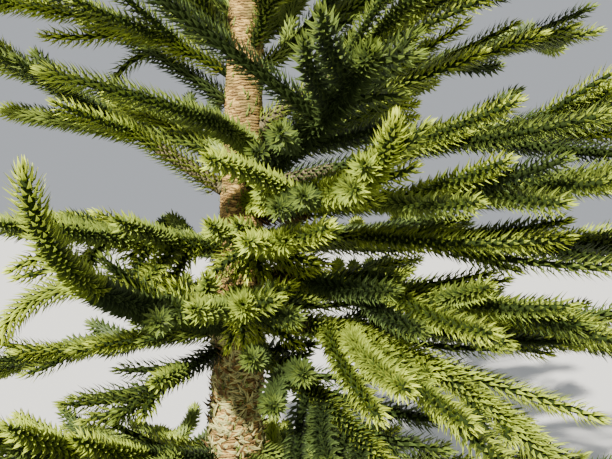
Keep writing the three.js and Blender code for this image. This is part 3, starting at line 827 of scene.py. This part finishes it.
def buildTrunk(material):
    plan, top = barkPlan, trunkPlan["top"]
    heights = np.concatenate([
        np.arange(0, plan["fineTop"], plan["fineRow"]),
        np.arange(plan["fineTop"], top, plan["coarseRow"]), [top],
    ])

    def lobed(turn, z):
        fading = math.exp(-z / trunkPlan["lobeHeight"])
        lobes = trunkPlan["lobeDepth"] * np.cos(trunkPlan["rootLobes"] * turn) * fading
        return 1 + lobes + waves(plan["lumps"], turn, z) * limited(z / plan["lumpsFrom"], 0, 1)

    east, north = (np.tile(way, (len(heights), 1)) for way in ([1.0, 0, 0], [0, 1.0, 0]))
    centres, radii = [trunkAxis(z) for z in heights], [trunkRadius(z) for z in heights]
    mesh = barkMesh("trunk_bark", [barkRings(centres, east, north, radii, heights, plan, lobed)])
    print(f"trunk: {len(mesh.polygons)} faces")
    addPiece("trunk_bark", mesh, material, ["trunk"])


def buildBoughs(mains, material):
    carrying, stems = [main for main in mains if main["plan"]["limb"] > 0], []
    for main in carrying:
        line = np.array(main["points"][:main["bare"] + 1])
        gone = np.concatenate([[0], np.cumsum(np.linalg.norm(np.diff(line, axis=0), axis=1))])
        places = np.arange(gone[main["first"]] - limbPlan["before"], gone[-1], limbPlan["row"])
        centres = np.stack([np.interp(places, gone, line[:, k]) for k in range(3)], axis=1)
        centres, _, across, over = carriedFrames(centres)
        radii = limbPlan["root"] + (limbPlan["tip"] - limbPlan["root"]) * places / gone[-1]
        stems.append(barkRings(centres, across, over, radii, places, limbPlan))
    mesh = barkMesh("boughs_bark", stems)
    nodes = [f"bough_{main['name']}" for main in carrying]
    print(f"boughs: {len(carrying)} limbs, {len(mesh.polygons)} faces")
    addPiece("boughs_bark", mesh, material, nodes)


# Stems of the shoots: extras longer than stoutFrom are as thick and leafy as a bough
stemPlan = {
    "mainRoot": 16.0, "mainTip": 11.0, "sideRoot": 11.0, "sideTip": 8.0, "sides": 6,
    "tipLength": 45.0, "tipShare": 0.3, "stoutFrom": 480,
}

# Leaf blade: half widths at its base and at its widest place, keel depth and curl of the tip
leafPlan = {
    "length": 43.0, "baseHalf": 3.6, "wideAt": 0.36, "wideHalf": 5.0, "keel": 1.8, "curl": 3.0,
    "tipCurl": -9.0,
}

# Pitch, tipLength in metres, angles in degrees; spin is the turn from one leaf to the next
scatterPlan = {
    "pitch": 0.0022, "mainPitch": 0.00115, "spread": 66.0, "tipSpread": 22.0, "tipLength": 0.045,
    "size": 1.0, "tipSize": 0.7, "sizeJitter": (0.84, 1.06), "spreadJitter": 6.0, "turnJitter": 4.0,
    "rollJitter": 5.0, "spin": 137.508, "firstSeed": 12, "mostFaces": 195000,
}

# The named number inputs of the leaf scatter, and their values' names
scatterInputs = {
    "Pitch": "pitch", "Spread": "spread", "Tip Spread": "tipSpread", "Tip Length": "tipLength",
    "Size": "size", "Tip Size": "tipSize", "Spread Jitter": "spreadJitter",
    "Turn Jitter": "turnJitter", "Roll Jitter": "rollJitter",
}

# Tints of the sprays: old and fresh colour, length of the fresh part from the bud, share by lot;
# a share of 0 is given only by the plans. The deep tint is darker leaves and painted shade, the
# bright tint lighter leaves and painted sunlight, and mid lies between them
tints = {
    "deep": ((0.062, 0.096, 0.022), (0.155, 0.215, 0.026), 0.10, 0.28),
    "mid": ((0.195, 0.265, 0.038), (0.36, 0.45, 0.044), 0.14, 0.42),
    "bright": ((0.33, 0.42, 0.046), (0.50, 0.60, 0.052), 0.18, 0.3),
    "dead": ((0.20, 0.115, 0.035), (0.20, 0.115, 0.035), 0.05, 0.0),
    "dry": ((0.53, 0.49, 0.18), (0.53, 0.49, 0.18), 0.05, 0.0),
}

tintLots = {"seed": 401, "firstLot": 5}

storeys = {
    "low": ("skirt", "lower"), "middle": ("middle", "main"),
    "high": ("upper", "high", "higher"), "top": ("young", "youngest", "top"),
}


# One leaf pointing along +Z, its face towards -X; "blade" is 0 at its base and 1 on its rim
def makeLeaf():
    plan = leafPlan
    wide, curl = plan["wideAt"] * plan["length"], plan["curl"]
    vertices = np.array([
        (0, -plan["baseHalf"], 0), (0, plan["baseHalf"], 0), (curl, -plan["wideHalf"], wide),
        (curl + plan["keel"], 0, wide), (curl, plan["wideHalf"], wide),
        (plan["tipCurl"], 0, plan["length"]),
    ]) * toMetres
    faces = np.array([(0, 3, 2), (0, 1, 3), (1, 4, 3), (2, 3, 5), (3, 4, 5)])
    mesh = makeMesh("leafBlade", vertices, faces, False)
    attribute = mesh.attributes.new("blade", "FLOAT", "POINT")
    attribute.data.foreach_set("value", [0.0, 0.0, 1.0, 0.3, 1.0, 1.0])
    return addObject("leafBlade", mesh)


# Geometry Nodes that set leaves along lines in a spiral. Every line point carries the way ahead,
# the stem's radius and how far the bud is.
def makeScatter():
    group = bpy.data.node_groups.new("leafSpiral", "GeometryNodeTree")
    for label, kind in (
        ("Lines", "Geometry"), ("Leaf", "Object"), *((label, "Float") for label in scatterInputs),
        ("Seed", "Int"), ("Material", "Material"),
    ):
        group.interface.new_socket(label, in_out="INPUT", socket_type=f"NodeSocket{kind}")
    group.interface.new_socket("Leaves", in_out="OUTPUT", socket_type="NodeSocketGeometry")
    add, calc = functools.partial(addNode, group), functools.partial(mathNode, group)
    given = add("NodeGroupInput").outputs

    def carried(label, kind="FLOAT"):
        inputs = {"Name": label}
        return add("GeometryNodeInputNamedAttribute", inputs, data_type=kind).outputs["Attribute"]

    def random(low, high, number):  # every throw has a number of its own
        inputs = {2: low, 3: high, "Seed": calc("ADD", given["Seed"], float(number))}
        return add("FunctionNodeRandomValue", inputs, data_type="FLOAT").outputs[1]

    def jittered(number, label):
        return calc("MULTIPLY", random(-1.0, 1.0, number), given[label])

    def turnedBy(rotation, axis, angle):
        by = add("FunctionNodeAxisAngleToRotation", {"Axis": axis, "Angle": angle}).outputs[0]
        inputs = {"Rotation": rotation, "Rotate By": by}
        return add("FunctionNodeRotateRotation", inputs, rotation_space="LOCAL").outputs[0]

    def ranged(low, high):  # closes in towards the bud
        inputs = {
            "Value": carried("fromTip"), "From Max": given["Tip Length"],
            "To Min": given[low], "To Max": given[high],
        }
        return add("ShaderNodeMapRange", inputs, interpolation_type="SMOOTHSTEP").outputs["Result"]

    curve = add("GeometryNodeMeshToCurve", {"Mesh": given["Lines"]}).outputs[0]
    spaced = {"Curve": curve, "Length": given["Pitch"]}
    points = add("GeometryNodeCurveToPoints", spaced, mode="LENGTH").outputs["Points"]
    aimed = {"Vector": carried("ahead", "FLOAT_VECTOR")}
    ahead = add("FunctionNodeAlignRotationToVector", aimed, axis="Z").outputs[0]
    index = add("GeometryNodeInputIndex").outputs[0]
    spin = calc("MULTIPLY", index, math.radians(scatterPlan["spin"]))
    spin = calc("ADD", spin, calc("RADIANS", jittered(1, "Turn Jitter")))
    spun = turnedBy(ahead, (0, 0, 1), spin)
    rolled = turnedBy(spun, (1, 0, 0), calc("RADIANS", jittered(5, "Roll Jitter")))
    spread = calc("ADD", ranged("Tip Spread", "Spread"), jittered(2, "Spread Jitter"))
    tilted = turnedBy(rolled, (0, 1, 0), calc("RADIANS", spread))
    size = calc("MULTIPLY", ranged("Tip Size", "Size"), random(*scatterPlan["sizeJitter"], 3))

    # from the stem's middle out to its bark
    radius = add("ShaderNodeCombineXYZ", {0: carried("stemRadius")}).outputs[0]
    outward = add("FunctionNodeRotateVector", {"Vector": radius, "Rotation": spun}).outputs[0]
    feet = add("GeometryNodeSetPosition", {"Geometry": points, "Offset": outward}).outputs[0]
    leaf = add("GeometryNodeObjectInfo", {"Object": given["Leaf"]}).outputs["Geometry"]
    planted = {"Points": feet, "Instance": leaf, "Rotation": tilted, "Scale": size}
    grown = add("GeometryNodeInstanceOnPoints", planted).outputs[0]
    stored = {"Geometry": grown, "Name": "shade", "Value": random(0.0, 1.0, 4)}
    shaded = add(
        "GeometryNodeStoreNamedAttribute", stored, domain="INSTANCE", data_type="FLOAT",
    ).outputs[0]
    real = add("GeometryNodeRealizeInstances", {0: shaded}).outputs[0]
    painted = add("GeometryNodeSetMaterial", {"Geometry": real, "Material": given["Material"]})
    add("NodeGroupOutput", {"Leaves": painted.outputs[0]})
    return group


# The lines as a mesh of edges, with what the leaves need to know at every point
def makeLines(name, rows):
    vertices, edges, ahead, radii, fromTip = [], [], [], [], []
    for row in rows:
        first = len(vertices)
        points, directions, _, _ = carriedFrames(row["points"])
        vertices += (points * toMetres).tolist()
        edges += [(first + i, first + i + 1) for i in range(len(points) - 1)]
        ahead += directions.tolist()
        radii += [r * toMetres for r in row["radii"]]
        fromTip += [d * toMetres for d in row["fromTip"]]
    mesh = bpy.data.meshes.new(name)
    mesh.from_pydata(vertices, edges, [])
    for label, kind, field, values in (
        ("ahead", "FLOAT_VECTOR", "vector", ahead), ("stemRadius", "FLOAT", "value", radii),
        ("fromTip", "FLOAT", "value", fromTip),
    ):
        attribute = mesh.attributes.new(label, kind, "POINT")
        attribute.data.foreach_set(field, np.array(values).ravel().astype(np.float32))
    return mesh


# Leaves along the rows as one plain mesh; changes are what differs from scatterPlan
def growLeaves(name, rows, leaf, scatter, material, nodes, seed, changes):
    values = {**scatterPlan, **changes}
    holder = addObject(name + "_lines", makeLines(name, rows))
    modifier = holder.modifiers.new("leaves", "NODES")
    modifier.node_group = scatter
    inputs = [item for item in scatter.interface.items_tree if item.in_out == "INPUT"]
    sockets = {item.name: item.identifier for item in inputs}
    modifier[sockets["Leaf"]], modifier[sockets["Material"]] = leaf, material
    modifier[sockets["Seed"]] = seed
    for label, key in scatterInputs.items():
        modifier[sockets[label]] = values[key]
    grown = holder.evaluated_get(bpy.context.evaluated_depsgraph_get())
    mesh = bpy.data.meshes.new_from_object(grown)
    mesh.name = name
    bpy.data.objects.remove(holder)
    return addPiece(name, mesh, material, nodes)


# The tint of one shoot, by lot
def drawTint(dice):
    chance = dice(0, 1)
    for name, (_, _, _, share) in tints.items():
        if chance < share:
            return name
        chance -= share
    return "mid"


# Radius at each point of a shoot, thinner towards its bud
def stemRadii(steps, kind):
    root, tip = stemPlan[f"{kind}Root"], stemPlan[f"{kind}Tip"]
    radii = tip + (root - tip) * steps / max(1, steps[0])
    tipShare = stemPlan["tipShare"]
    return radii * np.clip(tipShare + (1 - tipShare) * steps / stemPlan["tipLength"], 0, 1)


# Every shoot as a row: its line, the stem's radius and the distance to its bud at each point
def shootRows(mains):
    rows = []
    for main in mains:
        plan, dice = main["plan"], makeDice(main["owner"], tintLots)
        storey = next(key for key, names in storeys.items() if main["storey"] in names)
        root = max(0, main["first"] - 1)
        lines = [(main["points"][root:], True, plan["tint"])]
        for i, side in enumerate(main["sides"]):
            extra = i in main["extraSides"]
            stout = extra and len(side) * step > stemPlan["stoutFrom"]
            lines.append((side, stout, plan["extraTint" if extra else "sideTint"]))
        for number, (points, isMain, tint) in enumerate(lines):
            steps = np.arange(len(points))[::-1] * step
            radii = stemRadii(steps, "main" if isMain else "side")
            isBough = number == 0
            if isBough and plan["limb"] > 0:
                bare = main["bare"] - root
                bark = np.linspace(limbPlan["root"], limbPlan["tip"], bare + 1)
                radii[:bare + 1] = bark - limbPlan["cover"]
            drawn = drawTint(dice)
            rows.append({
                "points": points, "radii": radii, "fromTip": steps.astype(float),
                "tint": tint or drawn, "node": f"foliage_{main['name']}", "storey": storey,
                "isMain": isMain, "length": steps[0],
                "deadFoot": plan["deadFoot"] if isBough else 0,
                "brightTip": plan["brightTip"] if isBough else 0,
                "inner": main["points"][max(0, root - 1):root] if isBough else [],
            })
    return rows


# Boughs whose oldest leaves are dead, or whose tip has the bright tint as painted sunlight, parted
# where the tint changes
def partedRows(rows):
    parted = []
    for row in rows:
        last = len(row["points"]) - 1
        foot, tip = nearest(row["deadFoot"] / step), last - nearest(row["brightTip"] / step)
        lengths = (0, foot, "dead"), (foot, tip, row["tint"]), (tip, last, "bright")
        for start, end, tint in lengths:
            if end > start:
                cut = {key: row[key][start:end + 1] for key in ("points", "radii", "fromTip")}
                parted.append({**row, **cut, "tint": tint, "length": (end - start) * step})
    return parted


def buildStems(rows, material):
    sides = stemPlan["sides"]
    turn = np.arange(sides) * 2 * np.pi / sides
    for storey in storeys:
        vertices, faces, total = [], [], 0
        chosen = [row for row in rows if row["storey"] == storey]
        for row in chosen:
            points, _, across, over = carriedFrames([*row["inner"], *row["points"]])
            radii = [row["radii"][0]] * len(row["inner"]) + list(row["radii"])
            for i, centre in enumerate(points):
                vertices.append(ringPoints(centre, radii[i], turn, across[i], over[i]))
            faces.append(ringFaces(len(points), sides, total))
            total += len(points) * sides
        name, nodes = f"stems_{storey}", sorted({row["node"] for row in chosen})
        mesh = makeMesh(name, np.concatenate(vertices) * toMetres, np.concatenate(faces), True)
        addPiece(name, mesh, material, nodes)
        print(f"stems, {storey}: {len(chosen)} shoots, {len(mesh.polygons)} faces")


# Old leaves left on the trunk, from low to high: dry scraps low down, dead ones that still stand, a
# few green ones higher up, then more and more
trunkLeafPlan = {
    "trunk_dry_scraps": (40, 1230, "dry", {
        "pitch": 0.0006, "spread": 8.0, "spreadJitter": 14.0, "rollJitter": 120.0, "size": 1.1,
    }),
    "trunk_dead_leaves": (60, 1500, "dead", {
        "pitch": 0.0024, "spread": 45.0, "spreadJitter": 25.0, "rollJitter": 60.0, "size": 1.0,
    }),
    "trunk_green_leaves": (640, 2700, "mid", {
        "pitch": 0.0034, "spread": 24.0, "spreadJitter": 16.0, "rollJitter": 25.0, "size": 0.68,
    }),
    "trunk_top_leaves": (2700, 4040, "mid", {
        "pitch": 0.0012, "spread": 56.0, "spreadJitter": 12.0, "rollJitter": 8.0, "size": 0.95,
    }),
}

trunkScatter = {"firstSeed": 900, "turnJitter": 60.0, "fromTip": 1000.0, "clear": 1}


def buildTrunkLeaves(leaf, scatter, paints):
    for number, (name, (low, high, tint, plan)) in enumerate(trunkLeafPlan.items()):
        heights = np.arange(low, high, step)
        row = {
            "points": [trunkAxis(z) for z in heights],
            "radii": [trunkRadius(z) + trunkScatter["clear"] for z in heights],
            "fromTip": [trunkScatter["fromTip"]] * len(heights),
        }
        piece = growLeaves(
            name, [row], leaf, scatter, paints[tint], ["trunk"],
            trunkScatter["firstSeed"] + number, {**plan, "turnJitter": trunkScatter["turnJitter"]},
        )
        print(f"{name}: {len(piece.data.polygons)} faces")


# Shoots in batches whose leaves stay under the limit of faces
def batched(rows, facesOfLeaf, pitch):
    most = scatterPlan["mostFaces"] / facesOfLeaf * pitch * 1000
    batches, length = [[]], 0
    for row in rows:
        if length + row["length"] > most:
            batches.append([])
            length = 0
        batches[-1].append(row)
        length += row["length"]
    return [batch for batch in batches if batch]


def buildLeaves(rows, leaf, scatter, paints):
    seed, total = scatterPlan["firstSeed"], 0
    for kind, isMain, pitch in (("leaves", False, "pitch"), ("bough_leaves", True, "mainPitch")):
        pitch = scatterPlan[pitch]
        for storey, tint in ((storey, tint) for storey in storeys for tint in tints):
            wanted = (isMain, storey, tint)
            chosen = [row for row in rows if (row["isMain"], row["storey"], row["tint"]) == wanted]
            batches = batched(chosen, len(leaf.data.polygons), pitch)
            for number, batch in enumerate(batches):
                name = f"{kind}_{storey}_{tint}" + (f"_{number + 1}" if len(batches) > 1 else "")
                nodes = sorted({row["node"] for row in batch})
                piece = growLeaves(
                    name, batch, leaf, scatter, paints[tint], nodes, seed,
                    {"pitch": pitch},
                )
                seed += 1
                total += len(piece.data.polygons)
                print(f"{name}: {len(batch)} shoots, {len(piece.data.polygons)} faces")
    print(f"leaves: {total} faces")


viewPlan = {"place": (0.263, -2.5, 1.6), "pitch": -2.3, "lens": 43.5, "sensor": 36, "clipEnd": 100}

lightPlan = {
    "sunAzimuth": 249, "sunElevation": 31.5, "sunPower": 16.0, "sunAngle": 1.5, "sunAway": 8,
    "sunColour": (1.0, 0.955, 0.87), "world": (0.80, 0.84, 0.89), "worldPower": 0.6,
}

floorPlan = {"reach": 30, "colour": (0.62, 0.62, 0.60), "roughness": 0.9}


def buildFloor():
    reach = floorPlan["reach"]
    corners = [(-reach, -reach, 0), (reach, -reach, 0), (reach, reach, 0), (-reach, reach, 0)]
    mesh = makeMesh("floor", np.array(corners, dtype=float), np.array([(0, 1, 2, 3)]), False)
    floor = addObject("floor", mesh)
    material = bpy.data.materials.new("floorPale")
    material.use_nodes = True
    shader = material.node_tree.nodes["Principled BSDF"]
    shader.inputs["Base Color"].default_value = rgba(floorPlan["colour"])
    shader.inputs["Roughness"].default_value = floorPlan["roughness"]
    mesh.materials.append(material)


def buildLight():
    world = bpy.data.worlds.new("paleRoom")
    world.use_nodes = True
    background = world.node_tree.nodes["Background"]
    background.inputs["Color"].default_value = rgba(lightPlan["world"])
    background.inputs["Strength"].default_value = lightPlan["worldPower"]
    bpy.context.scene.world = world

    sun = bpy.data.lights.new("keyLight", "SUN")
    sun.energy = lightPlan["sunPower"]
    sun.angle = math.radians(lightPlan["sunAngle"])
    sun.color = lightPlan["sunColour"]
    azimuth, elevation = (math.radians(lightPlan[key]) for key in ("sunAzimuth", "sunElevation"))
    level = math.cos(elevation)
    towards = Vector((math.cos(azimuth) * level, math.sin(azimuth) * level, math.sin(elevation)))
    key = addObject("keyLight", sun)
    key.rotation_euler = towards.to_track_quat("Z", "Y").to_euler()
    key.location = towards * lightPlan["sunAway"]


def setView():
    lens = bpy.data.cameras.new("photoView")
    lens.lens, lens.sensor_width = viewPlan["lens"], viewPlan["sensor"]
    lens.clip_end = viewPlan["clipEnd"]
    camera = addObject("photoView", lens)
    camera.location = viewPlan["place"]
    camera.rotation_euler = (math.radians(90 + viewPlan["pitch"]), 0, 0)
    bpy.context.scene.camera = camera


barkPaints = {
    "trunkBark": {
        "tones": {
            "Gap": (0.03, 0.016, 0.008), "Plate": (0.2, 0.11, 0.035), "Rim": (0.64, 0.42, 0.12),
            "Moss And Painted Shade": (0.09, 0.09, 0.026), "Moss Amount": 0.8, "Gap Width": 0.32,
        },
        "bump": (0.8, 0.004), "specular": 0.2,
    },
    "boughBark": {
        "tones": {
            "Gap": (0.02, 0.018, 0.01), "Plate": (0.09, 0.075, 0.035), "Rim": (0.20, 0.16, 0.08),
            "Moss And Painted Shade": (0.07, 0.09, 0.03), "Moss Amount": 0.6, "Gap Width": 0.3,
        },
        "bump": (0.6, 0.003), "specular": 0.2,
    },
    # near black-green: the stems' own colour, darkened further as painted shade between the leaves
    "stemBarkAndPaintedShade": {
        "tones": {
            "Gap": (0.01, 0.016, 0.004), "Plate": (0.028, 0.045, 0.009), "Rim": (0.06, 0.09, 0.016),
            "Moss And Painted Shade": (0.015, 0.03, 0.006), "Moss Amount": 0.5, "Gap Width": 0.3,
        },
        "bump": (0.4, 0.002), "specular": 0.05,
    },
}

leafPaint = {
    "variation": 0.5, "gloss": 0.42, "dullGloss": 0.7, "dull": ("dead", "dry"),
    "bump": (0.15, 0.001), "specular": 0.24,
}


def makePaints():
    barkTone, leafTone = makeBarkTone(), makeLeafTone()
    paints = {name: makeMaterial(name, barkTone, **row) for name, row in barkPaints.items()}
    for name, (old, fresh, length, _) in tints.items():
        paints[name] = makeMaterial(f"leaf_{name}", leafTone, {
            "Old": old, "Fresh": fresh, "Fresh Length": length,
            "Variation": leafPaint["variation"],
            "Gloss": leafPaint["dullGloss" if name in leafPaint["dull"] else "gloss"],
        }, leafPaint["bump"], leafPaint["specular"])
    print(f"paints: {len(paints)} materials")
    return paints


buildFloor()
buildLight()
setView()
print("view, floor and light set")

mains = growTree()
paints = makePaints()
buildTrunk(paints["trunkBark"])
buildBoughs(mains, paints["boughBark"])

rows = shootRows(mains)
buildStems(rows, paints["stemBarkAndPaintedShade"])
leaf, scatter = makeLeaf(), makeScatter()
buildLeaves(partedRows(rows), leaf, scatter, paints)
buildTrunkLeaves(leaf, scatter, paints)
bpy.data.objects.remove(leaf)
